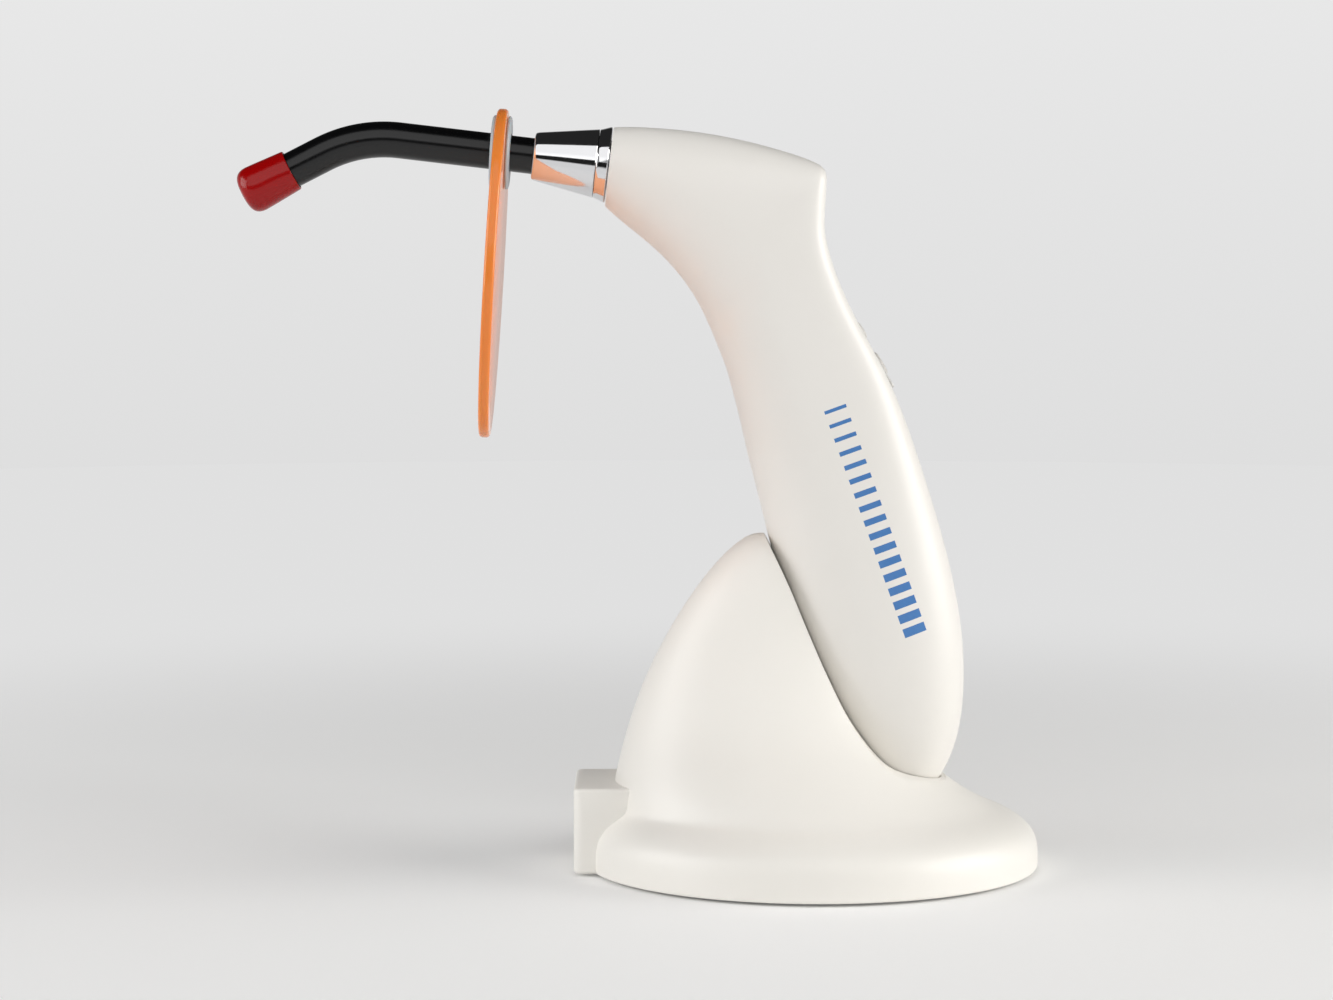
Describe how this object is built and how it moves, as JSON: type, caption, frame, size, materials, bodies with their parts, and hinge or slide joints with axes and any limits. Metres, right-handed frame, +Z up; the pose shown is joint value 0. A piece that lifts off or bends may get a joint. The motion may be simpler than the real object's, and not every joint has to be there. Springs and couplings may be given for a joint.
{
  "type": "curing light",
  "caption": "Pistol-shaped cordless dental curing light with a bent black light guide, red tip cover and oval orange eye shield, resting in a round charging stand.",
  "frame": {"origin": "centre of the foot's non-slip pad, on the surface that the stand rests on", "axes": "+Z up, the nose and light guide point to -X, the object is symmetric about the XZ plane but for small inner pieces and screws"},
  "size_m": [0.2059, 0.1146, 0.1954],
  "materials": {
    "stand_white": "warm off-white satin moulding",
    "casing_white": "warm off-white satin moulding",
    "panel_grey": "light grey moulding",
    "key_white": "pale grey keys",
    "pad_rubber": "dark non-slip rubber",
    "steel": "plain steel",
    "board_green": "green circuit board",
    "black_plastic": "black moulding",
    "brass": "gold-plated contacts",
    "dark_window": "smoked display window",
    "cell_wrap": "blue shrink wrap",
    "aluminium": "machined aluminium",
    "clear_glass": "clear glass",
    "chrome": "mirror-bright chrome",
    "guide_black": "black satin sleeve",
    "cap_red": "deep red satin cap",
    "shield_orange": "translucent orange acrylic",
    "grommet_silicone": "cloudy grey silicone"
  },
  "bodies": {
    "stand": {"base_housing": "stand_white", "bottom_plate": "panel_grey", "foot_pad": "pad_rubber", "ballast_plate": "steel", "plate_screw_1": "steel", "plate_screw_2": "steel", "plate_screw_3": "steel", "plate_screw_4": "steel", "charger_board": "board_green", "pin_carrier": "black_plastic", "dc_jack": "black_plastic", "dc_jack_pin": "brass"},
    "handpiece": {"handle_shell_left": "casing_white", "handle_shell_right": "casing_white", "shell_screw_1": "steel", "shell_screw_2": "steel", "shell_screw_3": "steel", "display_window": "dark_window", "key_panel": "panel_grey", "key_board": "board_green", "tact_switch_1": "black_plastic", "tact_switch_2": "black_plastic", "tact_switch_3": "black_plastic", "main_board": "board_green", "buzzer": "black_plastic", "battery_cell": "cell_wrap", "cell_cradle": "black_plastic", "heat_sink": "aluminium", "led_board": "aluminium", "led_lens": "clear_glass", "lens_tube": "aluminium", "collar_ring": "chrome", "nose_cone": "chrome", "contact_plate_1": "brass", "contact_plate_2": "brass"},
    "charge_pin_1": {"charge_pin_1": "brass"},
    "charge_pin_2": {"charge_pin_2": "brass"},
    "power_key": {"power_key": "key_white"},
    "mode_key": {"mode_key": "key_white"},
    "time_key": {"time_key": "key_white"},
    "guide_ring": {"guide_o_ring": "pad_rubber"},
    "light_guide": {"guide_core": "clear_glass", "guide_sleeve": "guide_black", "guide_ferrule": "steel"},
    "tip_cap": {"tip_cap": "cap_red"},
    "shield_grommet": {"shield_grommet": "grommet_silicone"},
    "eye_shield": {"eye_shield": "shield_orange"}
  },
  "joints": [
    {"name": "handpiece_lift", "type": "slide", "parent": "stand", "child": "handpiece", "axis": [-0.2079, 0, 0.9781], "range_m": [0, 0.1]},
    {"name": "power_key_press", "type": "slide", "parent": "handpiece", "child": "power_key", "axis": [-0.8581, 0, -0.5135], "range_m": [0, 0.0005], "stiffness_N_per_m": 400},
    {"name": "mode_key_press", "type": "slide", "parent": "handpiece", "child": "mode_key", "axis": [-0.8581, 0, -0.5135], "range_m": [0, 0.0005], "stiffness_N_per_m": 400},
    {"name": "time_key_press", "type": "slide", "parent": "handpiece", "child": "time_key", "axis": [-0.8581, 0, -0.5135], "range_m": [0, 0.0005], "stiffness_N_per_m": 400},
    {"name": "charge_pin_1_press", "type": "slide", "parent": "stand", "child": "charge_pin_1", "axis": [0, 0, 1], "range_m": [-0.001, 0], "stiffness_N_per_m": 200},
    {"name": "charge_pin_2_press", "type": "slide", "parent": "stand", "child": "charge_pin_2", "axis": [0, 0, 1], "range_m": [-0.001, 0], "stiffness_N_per_m": 200},
    {"name": "guide_turn", "type": "hinge", "parent": "handpiece", "child": "guide_ring", "pos_m": [-0.05936, 0, 0.18178], "axis": [-0.9932, 0, 0.1167], "continuous": true},
    {"name": "guide_pull", "type": "slide", "parent": "guide_ring", "child": "light_guide", "axis": [-0.9932, 0, 0.1167], "range_m": [0, 0.03]},
    {"name": "cap_pull", "type": "slide", "parent": "light_guide", "child": "tip_cap", "axis": [-0.891, 0, -0.454], "range_m": [0, 0.02]},
    {"name": "grommet_slide", "type": "slide", "parent": "light_guide", "child": "shield_grommet", "axis": [-0.9932, 0, 0.1167], "range_m": [-0.005, 0.018]},
    {"name": "shield_turn", "type": "hinge", "parent": "shield_grommet", "child": "eye_shield", "pos_m": [-0.08111, 0, 0.18433], "axis": [-0.9981, 0, 0.061], "continuous": true}
  ]
}
